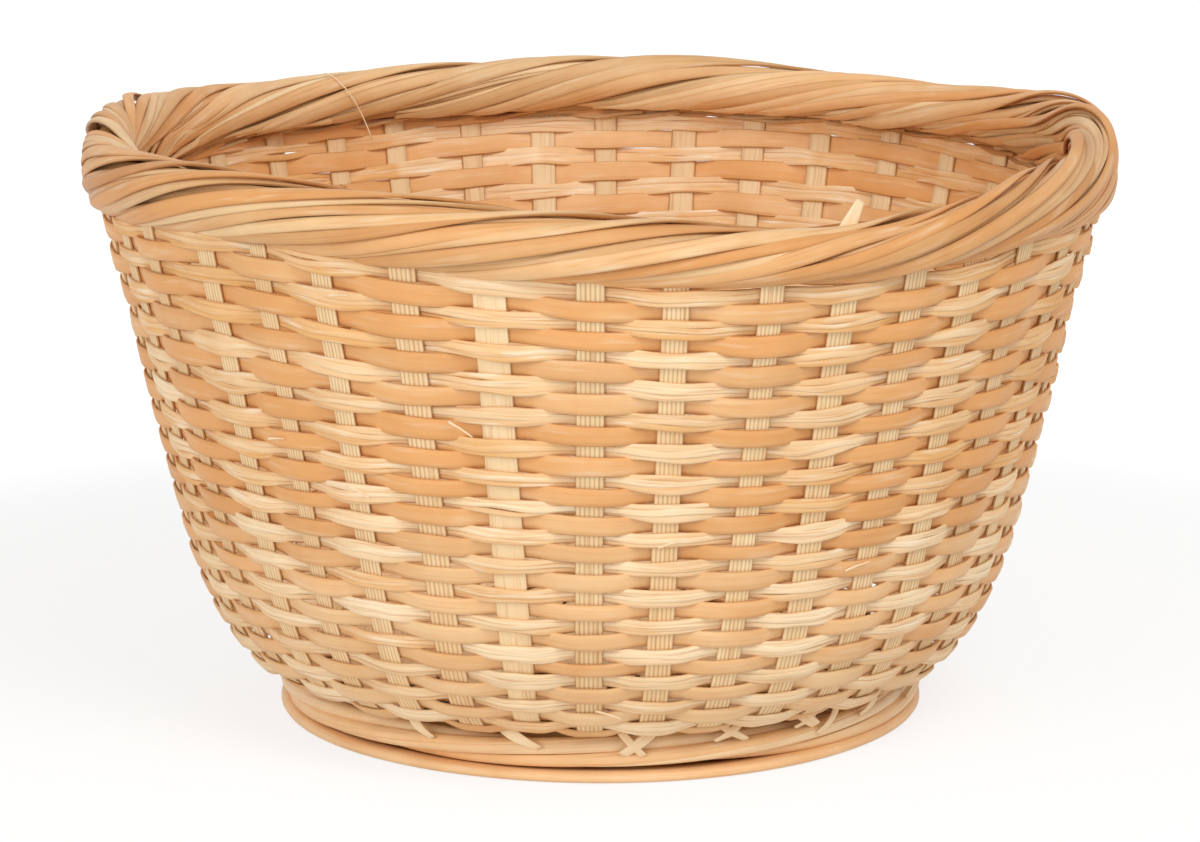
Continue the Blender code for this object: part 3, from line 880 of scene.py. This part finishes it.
def border_bulge(azimuth, angle):
    """How much further out the roll is.

    It is fuller at both sides, lower on the back's shoulders, slim at the right of the front, and thinner
    inside at both ends.
    """
    flare = both_sides(azimuth, FLARE_PLACE, FLARE_SPREAD)
    shoulder = both_sides(azimuth, SHOULDER_PLACE, SHOULDER_SPREAD)
    pinch = both_sides(azimuth, PINCH_PLACE, PINCH_SPREAD)
    top, bottom = np.maximum(np.sin(angle), 0) ** 2, np.minimum(np.sin(angle), 0) ** 2
    inner = np.minimum(np.cos(angle), 0) ** 2
    slim = SLIM_BY * near(azimuth, SLIM_PLACE, SLIM_SPREAD) * (top + bottom)
    slim = slim + DIP_BY * near(azimuth, DIP_PLACE, DIP_SPREAD) * top + PINCH_BY * pinch * inner
    return flare * (FLARE_RISE * top + FLARE_DROP * bottom) - SHOULDER_SINK * shoulder * top - slim


def add_border_strip(piece, stake, proud, crest, tone):
    """A flat strip wound round the roll like a shingle: its lower edge lies over the strip after it."""
    share = np.linspace(0, 1, STRIP_POINTS)
    span = ROLL_STAKES + RANDOM.uniform(-SPAN_VARIES, SPAN_VARIES)
    azimuth = (stake + RANDOM.uniform(-PLACE_VARIES, PLACE_VARIES) + span * share) * STAKE_PITCH
    drift = DRIFT * np.sin(2 * math.pi * (share * RANDOM.uniform(*DRIFT_WAVES) + RANDOM.random()))
    turn = RANDOM.uniform(-TURN_VARIES, TURN_VARIES)
    angle = ROLL_START + (ROLL_END - ROLL_START) * share + turn + drift
    ends = smoothstep(share, 0, END_SHARE) * (1 - smoothstep(share, 1 - END_SHARE, 1))
    left, right = (np.maximum(side * np.sin(azimuth), 0) ** END_POWER for side in (-1, 1))
    back = np.maximum(-np.cos(azimuth), 0)
    width = RANDOM.uniform(*STRIP_WIDTHS) * (END_WIDTH + (1 - END_WIDTH) * ends)
    width = width * (1 - RIGHT_NARROWER * right)
    tilt = RANDOM.uniform(*TILTS) + TILT_BY * np.sin(2 * math.pi * (share * TILT_WAVES + RANDOM.random()))
    tilt = tilt * (1 - LEFT_TILT_LESS * left)
    tilt = tilt + RANDOM.uniform(-RIGHT_TILT_VARIES, RIGHT_TILT_VARIES) * right
    bulge = border_bulge(azimuth, angle)
    lift = proud + RANDOM.uniform(-LIFT_VARIES, LIFT_VARIES)
    lift = lift + crest * np.exp(-((angle - math.pi / 2) / CREST_SPREAD) ** 2)
    lift = lift * (1 - LEFT_LIFT_LESS * left) + RANDOM.uniform(-RIGHT_LIFT_VARIES, RIGHT_LIFT_VARIES) * right
    lift = lift + bulge - END_SINK * (1 - ends)
    roll = ROLL_RADIUS + bulge
    slope = np.arctan(np.gradient(angle, azimuth) * roll / BORDER_RADIUS)
    reach = width[:, None] * STRIP_SECTION[:, 0][None]
    around_roll = angle[:, None] + reach * (np.cos(slope) / roll)[:, None]
    around_axis = azimuth[:, None] - reach * np.sin(slope)[:, None] / BORDER_RADIUS
    depth = lift[:, None] - tilt[:, None] * reach + STRIP_SECTION[:, 1][None] * ROLL_THICKNESS
    radial = BORDER_RADIUS + (ROLL_HALF_WIDTH + depth) * np.cos(around_roll)
    height = BORDER_HEIGHT + border_rise(around_axis) + (ROLL_HALF_HEIGHT + depth) * np.sin(around_roll)
    points = in_plane(around_axis, radial, height)
    along = RANDOM.random() + azimuth * BORDER_RADIUS
    tone = tone + STRIP_TONE_VARIES * RANDOM.normal()
    tone = tone + STRIP_TONE_WAVE * np.sin(2 * math.pi * (share + RANDOM.random()))
    # Painted shade at both ends and painted light at the back, in the tone
    tone = tone + STRIP_ENDS_PAINTED_SHADE_TONE * (left + right) + STRIP_BACK_PAINTED_LIGHT_TONE * back
    # A random shade for each strip, with painted light at the left and at the back and painted shade along
    # the edges
    shade = RANDOM.uniform(*STRIP_SHADES) * (1 + STRIP_LEFT_PAINTED_LIGHT * left + STRIP_BACK_PAINTED_LIGHT * back)
    shade = shade[:, None] * painted_edge_shade(STRIP_SECTION, STRIP_EDGE_PAINTED_SHADE)[None]
    piece.grid(points, along, reach, tone=tone, shade=shade)


def make_border_core():
    """The bundle of gathered tails inside the roll, coloured dark as painted shade for the gaps between the
    strips.
    """
    azimuth = full_turn(CORE_ROWS)[:, None]
    turn = full_turn(CORE_SIDES)[None]
    bundle = BUNDLE_DEPTH * np.cos(BUNDLE_RIDGES * turn - BUNDLE_TURNS * azimuth) - CORE_HOLLOW
    bundle = bundle + CORE_BULGE * border_bulge(azimuth, turn)
    radial = BORDER_RADIUS + (CORE_HALF_WIDTH + bundle) * np.cos(turn)
    height = BORDER_HEIGHT + border_rise(azimuth) + (CORE_HALF_HEIGHT + bundle) * np.sin(turn)
    points = in_plane(np.broadcast_to(azimuth, radial.shape), radial, height)
    piece = Piece()
    piece.grid(points, azimuth[:, 0] * BORDER_RADIUS, turn[0] * CORE_HALF_WIDTH, tone=CORE_TONE, closed=True)
    piece.make("rolled_core", CORE_CANE_PAINTED_SHADE, "border_core", "border_core")


def make_border_strips():
    """Strips over the core from every second stake: out from under the roll, up its face, over and inside."""
    for number in range(SPLINT_COUNT):
        piece = Piece()
        for k, (proud, crest) in enumerate(STRIP_LAYERS):
            tone = PALE_STRIPS.get(len(STRIP_LAYERS) * number + k, STRIP_TONE)
            add_border_strip(piece, 2 * number + STRIP_STEP * k, proud, crest, tone)
        for k in range(len(STRIP_LAYERS)):
            stake = 2 * number + STRIP_STEP * k + LINING_STEP
            add_border_strip(piece, stake, -LINING_DEPTH, 0, LINING_TONE)
        piece.make(f"rolled_strip_{number + 1:02d}", BORDER_CANE, "border_strip",
                   f"border_strip_{number + 1:02d}")


# The foot: faces round its rings, the hoop's outline as shares of its width and height, and slight waves
RING_STEPS = 240
HOOP_OUTLINE = np.array([(-0.46, 1), (0.3, 1), (0.44, 0.86), (0.5, 0.6), (0.5, 0.35), (0.44, 0.12), (0.3, 0),
                         (-0.46, 0), (-0.5, 0.5)])
HOOP_WAVE, HOOP_WAVES = 0.15 * MM, 5
HOOP_TONE = 0.35
BAND_WAVE, BAND_WAVES = 0.1 * MM, 7
BAND_CROWN = 0.2 * MM
BAND_TONE = 0.3
# The band is darkened, as painted shade behind the strands
BAND_PAINTED_SHADE = 0.8

# The strands, which twist round each other above the hoop and sink a little at the sides of the basket
STRAND_COUNT = 3
STRAND_WIDTH = 7.4 * MM
STRAND_THICKNESS = 2.2 * MM
STRAND_REACH = 2.6 * MM
STRAND_RISE = 0.1 * MM
STRAND_SINK = 1.3 * MM
STRAND_TWISTS = 2
STRAND_SECTION = domed(9, crown=0.5, power=2.4)

# The two strips side by side in a strand: place across it as a share of its width, how proud it is, and tone
STRAND_STRIPS = ((-0.25, 0.0, 0.25), (0.23, 0.35 * MM, 0.6))
STRAND_STRIP_SHARE = 0.51
STRAND_WANDER = 0.05
STRAND_WANDERS = 3
STRAND_PHASE_UP_TO = 6
STRAND_TONE_STEP = 0.1
STRAND_WANDER_TONE = 0.2

# Tails at the front, as stake number, drop in millimetres and slant, and how those further round vary
TAILS = ((-3.4, 6, 1), (-1.6, 6, 1.2), (0.5, 8, 1.2), (1.15, 7.5, -1), (2.3, 5.5, 1), (2.75, 5, -1),
         (3.9, 5, 1), (4.35, 4.5, -1))
FRONT_TAIL_STAKES = 4
TAIL_SHARE = 0.4
TAIL_PLACE_VARIES = 0.3
TAIL_DROPS = (5, 8)

# A tail's own form: its top, and how far out it starts, bows and tucks in again, are in millimetres
TAIL_POINTS = 12
TAIL_TOP = 16
TAIL_SLANTS = (0.06, 0.10)
TAIL_OUT = 4.8
TAIL_BOW = 1.2
TAIL_TUCK = 0.6
TAIL_WIDTH = 2.5 * MM
TAIL_WIDTHS = (0.8, 1.3)
TAIL_THICKNESS = 0.6 * MM
TAIL_TONE = 0.9


def turned(piece, outline, azimuth, wave, **looks):
    """A ring: an outline of radius and height turned about the axis, with a slight wave in its radius."""
    radial = outline[:, 0][None] + wave[:, None]
    height = outline[:, 1][None] + 0 * wave[:, None]
    points = in_plane(np.broadcast_to(azimuth[:, None], radial.shape), radial, height)
    across = np.cumsum(np.linalg.norm(np.diff(outline, axis=0, prepend=outline[-1:]), axis=1))
    piece.grid(points, azimuth * FOOT_RADIUS, across, closed=True, **looks)


def add_tail(piece, stake, drop, slant):
    """A thin tail that slants down from under the weave over the upper strand and in behind the lower one."""
    share = np.linspace(0, 1, TAIL_POINTS)
    azimuth = stake * STAKE_PITCH + share * slant * RANDOM.uniform(*TAIL_SLANTS)
    height = (TAIL_TOP - drop * share) * MM
    out = (TAIL_OUT + TAIL_BOW * np.sin(math.pi * share) - TAIL_TUCK * share ** 3) * MM
    piece.strip(in_plane(azimuth, FOOT_RADIUS + out, height), outward(azimuth + math.pi / 2),
                TAIL_WIDTH * RANDOM.uniform(*TAIL_WIDTHS), TAIL_THICKNESS, domed(), tone=TAIL_TONE,
                shift=RANDOM.random())


def make_hoop():
    """The flat hoop that the basket stands on."""
    azimuth = full_turn(RING_STEPS)
    outline = np.array([FOOT_RADIUS, 0]) + HOOP_OUTLINE * np.array([2 * HOOP_HALF_WIDTH, HOOP_TOP])
    piece = Piece()
    turned(piece, outline, azimuth, HOOP_WAVE * np.sin(HOOP_WAVES * azimuth), tone=HOOP_TONE)
    piece.make("ring_hoop", FOOT_CANE_PAINTED_LIGHT, "foot_strip", "foot_hoop")


def make_band():
    """The upright band inside the strands, with the tails that come down over them."""
    azimuth = full_turn(RING_STEPS)
    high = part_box("foot_band")[1]
    outer, inner = high.x, high.x - BAND_THICKNESS
    outline = np.array([(inner, 0), (inner, high.z), (outer, high.z), (outer + BAND_CROWN, high.z / 2),
                        (outer, 0)])
    piece = Piece()
    wave = BAND_WAVE * np.sin(BAND_WAVES * azimuth)
    turned(piece, outline, azimuth, wave, tone=BAND_TONE, shade=BAND_PAINTED_SHADE)
    for tail in TAILS:
        add_tail(piece, *tail)
    for stake in range(FRONT_TAIL_STAKES + 1, STAKE_COUNT - FRONT_TAIL_STAKES):
        if RANDOM.random() < TAIL_SHARE:
            place = stake + RANDOM.uniform(-TAIL_PLACE_VARIES, TAIL_PLACE_VARIES)
            add_tail(piece, place, RANDOM.uniform(*TAIL_DROPS), RANDOM.choice((-1, 1)))
    piece.make("ring_band", FOOT_CANE_PAINTED_LIGHT, "foot_strip", "foot_band")


def make_strands():
    """Three flat strands that twist round each other between the hoop and the weave."""
    low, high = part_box("foot_strand_1")
    around_ring = np.linspace(0, 2 * math.pi, RING_STEPS + 1)[:-1]
    azimuth = math.pi + around_ring
    middle = (low.z + high.z) / 2 + STRAND_RISE - STRAND_SINK * np.sin(azimuth) ** 2
    for strand in range(STRAND_COUNT):
        phase = 2 * math.pi * strand / STRAND_COUNT + STRAND_TWISTS * around_ring
        along, up = np.cos(phase), np.sin(phase)
        centres = in_plane(azimuth, FOOT_RADIUS + STRAND_REACH * along, middle + STRAND_REACH * up)
        across = in_plane(azimuth, -up, along)
        through = unit(np.cross(np.roll(centres, -1, 0) - np.roll(centres, 1, 0), across))
        piece = Piece()
        for side, proud, tone in STRAND_STRIPS:
            offset = RANDOM.uniform(0, STRAND_PHASE_UP_TO)
            wander = STRAND_WANDER * np.sin(STRAND_WANDERS * around_ring + offset)
            line = centres + across * ((side + wander) * STRAND_WIDTH)[:, None] - through * proud
            tone = tone + STRAND_TONE_STEP * strand + STRAND_WANDER_TONE * wander
            piece.strip(line, across, STRAND_STRIP_SHARE * STRAND_WIDTH, STRAND_THICKNESS, STRAND_SECTION,
                        closed=True, tone=tone, shift=RANDOM.random())
        piece.make(f"ring_strand_{strand + 1}", FOOT_CANE_PAINTED_LIGHT, "foot_strip", f"foot_strand_{strand + 1}")


# Cut ends of border strips that stand up from the roll, as stake number, and rise and width in millimetres.
# How far they lean inward, at each end, and start below the top is in millimetres too.
CUT_ENDS = ((3.05, 9.4, 6.4), (-1.9, 3.0, 3.4), (0.9, 2.6, 3.6))
CUT_END_POINTS = 9
CUT_END_STAKES = 0.32
CUT_END_INWARD = (1.5, 4.0)
CUT_END_SUNK = 2.0
CUT_END_TAPER = 0.6
CUT_END_THICKNESS = 0.6 * MM

# Loose fibre ends on the wall: stake number, depth below the border and length in millimetres, and slant
LOOSE_ENDS = ((-3.0, 6, 9, 0.15), (-3.1, 62, 8, -0.3), (0.9, 76, 7, 0.35), (0.1, 128, 9, -0.2),
              (-1.6, 40, 7, -0.5), (3.6, 88, 8, 0.3), (-4.4, 52, 8, 0.2))
FIBRE_POINTS = 10
FIBRE_WIDTH = 0.8 * MM
FIBRE_THICKNESS = 0.4 * MM
FIBRE_TAPER = 0.6
FIBRE_OFF = 1.5
FIBRE_CURL = 1.2

# The hair over the back, as four points of its curve: stake number, and millimetres out from and above the
# roll's middle
HAIR = ((-14.85, -1, 9.0), (-14.9, -6, 9.0), (-15.1, -11, 2), (-15.3, -12, -11))
HAIR_POINTS = 24
HAIR_WIDTH = 0.35 * MM

# The pale tone of fresh fibre, on cut and loose ends
BARE_TONE = 1.0


def add_cut_end(piece, stake, rise, width):
    """The tapered cut end of a strip, which leans up and inward over the top of the roll."""
    share = np.linspace(0, 1, CUT_END_POINTS)
    azimuth = (stake + CUT_END_STAKES * share) * STAKE_PITCH
    near_end, far_end = CUT_END_INWARD
    radius = BORDER_RADIUS - (near_end + (far_end - near_end) * share) * MM
    top = BORDER_HEIGHT + border_rise(azimuth) + ROLL_HALF_HEIGHT + border_bulge(azimuth, math.pi / 2)
    height = top + (rise * share - CUT_END_SUNK) * MM
    piece.strip(in_plane(azimuth, radius, height), outward(azimuth + math.pi / 2),
                width * MM * (1 - CUT_END_TAPER * share), CUT_END_THICKNESS, domed(), tone=BARE_TONE,
                shift=RANDOM.random())


def add_loose_end(piece, stake, depth, length, slant):
    """A frayed end that stands a little off the wall."""
    share = np.linspace(0, 1, FIBRE_POINTS)
    up = PROFILE.top - (depth - slant * length * share) * MM
    azimuth = stake_azimuth(np.full(len(share), stake), up) + length * MM * share / BORDER_RADIUS
    radius, height, along, normal = PROFILE.at(up)
    off = (FIBRE_OFF + FIBRE_CURL * share ** 2) * MM
    centres = in_plane(azimuth, radius + normal[0] * off, height + normal[1] * off)
    across = in_plane(azimuth, along[0], along[1])
    piece.strip(centres, across, FIBRE_WIDTH * (1 - FIBRE_TAPER * share), FIBRE_THICKNESS, domed(),
                tone=BARE_TONE)


def make_loose_fibres():
    """Cut ends on the border, frayed ends on the wall, and one fine hair over the border's back."""
    piece = Piece()
    for cut_end in CUT_ENDS:
        add_cut_end(piece, *cut_end)
    for loose_end in LOOSE_ENDS:
        add_loose_end(piece, *loose_end)
    stake, radial, height = bezier(HAIR, np.linspace(0, 1, HAIR_POINTS)).T
    centres = in_plane(stake * STAKE_PITCH, BORDER_RADIUS + radial * MM, BORDER_HEIGHT + height * MM)
    piece.strip(centres, outward(stake * STAKE_PITCH + math.pi / 2), HAIR_WIDTH, HAIR_WIDTH, domed(),
                tone=BARE_TONE)
    piece.make("loose_fibres", NARROW_CANE, "narrow_weaver")


# The floor's white glow covers only a share of it near the basket, so that the shadow shows, and all of it
# further out
FLOOR_HALF = 8.0
FLOOR_PAPER = (0.86, 0.86, 0.86)
FLOOR_GLOW = 1.10
SHADOW_REACH = 0.30
SHADOW_EDGE = 0.45
NEAR_GLOW, FAR_GLOW_MORE = 0.68, 0.32
UNDER_FOOT = 0.9
WHITE = (1, 1, 1)


def make_floor():
    """A wide white floor that keeps the basket's shadow and otherwise shows as plain white."""
    mesh = bpy.data.meshes.new("floor")
    corners = [(x * FLOOR_HALF, y * FLOOR_HALF, 0) for x, y in ((-1, -1), (1, -1), (1, 1), (-1, 1))]
    mesh.from_pydata(corners, [], [(0, 1, 2, 3)])
    material = bpy.data.materials.new("floor_white")
    material.use_nodes = True
    tree = material.node_tree
    tree.nodes.clear()
    start = Wire(tree)
    paper = start.add("BsdfDiffuse", {}, {"Color": solid(FLOOR_PAPER)})
    glow = start.add("Emission", {}, {"Color": solid(WHITE), "Strength": FLOOR_GLOW})
    place = start.add("TexCoord", output="Object")
    distance = start.add("VectorMath", {"operation": "LENGTH"}, {0: place}, output="Value")
    plain = distance.between(SHADOW_REACH, SHADOW_EDGE)
    open_floor = distance.between(UNDER_FOOT * FOOT_RADIUS, FOOT_RADIUS)
    share = seen_by_eye(start) * open_floor * (NEAR_GLOW + FAR_GLOW_MORE * plain)
    surface = start.add("MixShader", {}, {0: share, 1: paper, 2: glow})
    start.add("OutputMaterial", {}, {"Surface": surface})
    mesh.materials.append(material)
    floor = bpy.data.objects.new("floor", mesh)
    bpy.context.scene.collection.objects.link(floor)


def seen_by_eye(start):
    """1 for rays from the camera, or through gloss and glass, and 0 for the rest."""
    camera = start.add("LightPath", output="Is Camera Ray")
    glossy = start.add("LightPath", output="Is Glossy Ray")
    transmission = start.add("LightPath", output="Is Transmission Ray")
    return (camera + glossy + transmission).clamped()


# Strength of the surroundings, and the lamps: place, size and power in watts
SKY = 0.56
KEY_PLACE = (0.6, -1.0, 1.25)
KEY_POWER = 10.6
FILL_PLACE = (-0.7, -1.15, 0.6)
FILL_POWER = 6.2
LAMP_SIZE = 0.9
LAMP_AIM = (0, 0, 0.09)


def make_light():
    """White surroundings, a broad soft lamp above the front right, and a weaker one at the front left."""
    world = bpy.data.worlds.new("studio")
    world.use_nodes = True
    bpy.context.scene.world = world
    tree = world.node_tree
    tree.nodes.clear()
    start = Wire(tree)
    sky = start.add("Background", {}, {"Color": solid(WHITE), "Strength": SKY})
    white = start.add("Background", {}, {"Color": solid(WHITE), "Strength": 1.0})
    surface = start.add("MixShader", {}, {0: seen_by_eye(start), 1: sky, 2: white})
    start.add("OutputWorld", {}, {"Surface": surface})
    make_lamp("key", KEY_PLACE, KEY_POWER)
    make_lamp("fill", FILL_PLACE, FILL_POWER)


def make_lamp(name, place, power):
    """A round lamp aimed at the basket."""
    light = bpy.data.lights.new(name, "AREA")
    light.shape = "DISK"
    light.size = LAMP_SIZE
    light.energy = power
    holder = bpy.data.objects.new(name, light)
    holder.location = place
    x, y, z = np.array(LAMP_AIM) - np.array(place)
    holder.rotation_euler = (math.atan2(math.hypot(x, y), -z), 0, math.atan2(y, x) - math.pi / 2)
    bpy.context.scene.collection.objects.link(holder)


# The photograph's view: place, tilt down, lens in millimetres, and how far round the basket it stands
CAMERA_DISTANCE = 1.4
CAMERA_HEIGHT = 0.39
CAMERA_PITCH = math.radians(12.38)
CAMERA_AZIMUTH = math.radians(1.6)
CAMERA_LENS = 146.9
CAMERA_SENSOR = 36
CAMERA_SIGHT = 50


def make_camera():
    """The photograph's place and lens; the basket is seen turned a little to the left."""
    camera = bpy.data.cameras.new("camera")
    camera.lens = CAMERA_LENS
    camera.sensor_width = CAMERA_SENSOR
    camera.clip_end = CAMERA_SIGHT
    holder = bpy.data.objects.new("camera", camera)
    holder.location = in_plane(CAMERA_AZIMUTH, CAMERA_DISTANCE, CAMERA_HEIGHT)
    holder.rotation_euler = (math.pi / 2 - CAMERA_PITCH, 0, CAMERA_AZIMUTH)
    bpy.context.scene.collection.objects.link(holder)
    bpy.context.scene.camera = holder
    bpy.context.scene.view_settings.view_transform = "Standard"


make_stakes()
make_weaver("honey_weaver", "wide_weaver", WIDE_CANE, low_edge=WEAVER_ROW_GAP, own_width=WIDE_WEAVER_WIDTH,
            parity=0, peak=5.7 * MM, waist=5.8 * MM, fibres=WHOLE, tones=(0.16, 0.60))
make_weaver("pale_weaver", "narrow_weaver", NARROW_CANE, low_edge=WIDE_WEAVER_WIDTH + 2 * WEAVER_ROW_GAP,
            own_width=NARROW_WEAVER_WIDTH, parity=1, peak=4.7 * MM, waist=4.3 * MM, fibres=SPLIT,
            tones=(0.48, 0.80))
make_border_core()
make_border_strips()
make_hoop()
make_band()
make_strands()
make_loose_fibres()
make_floor()
make_light()
make_camera()
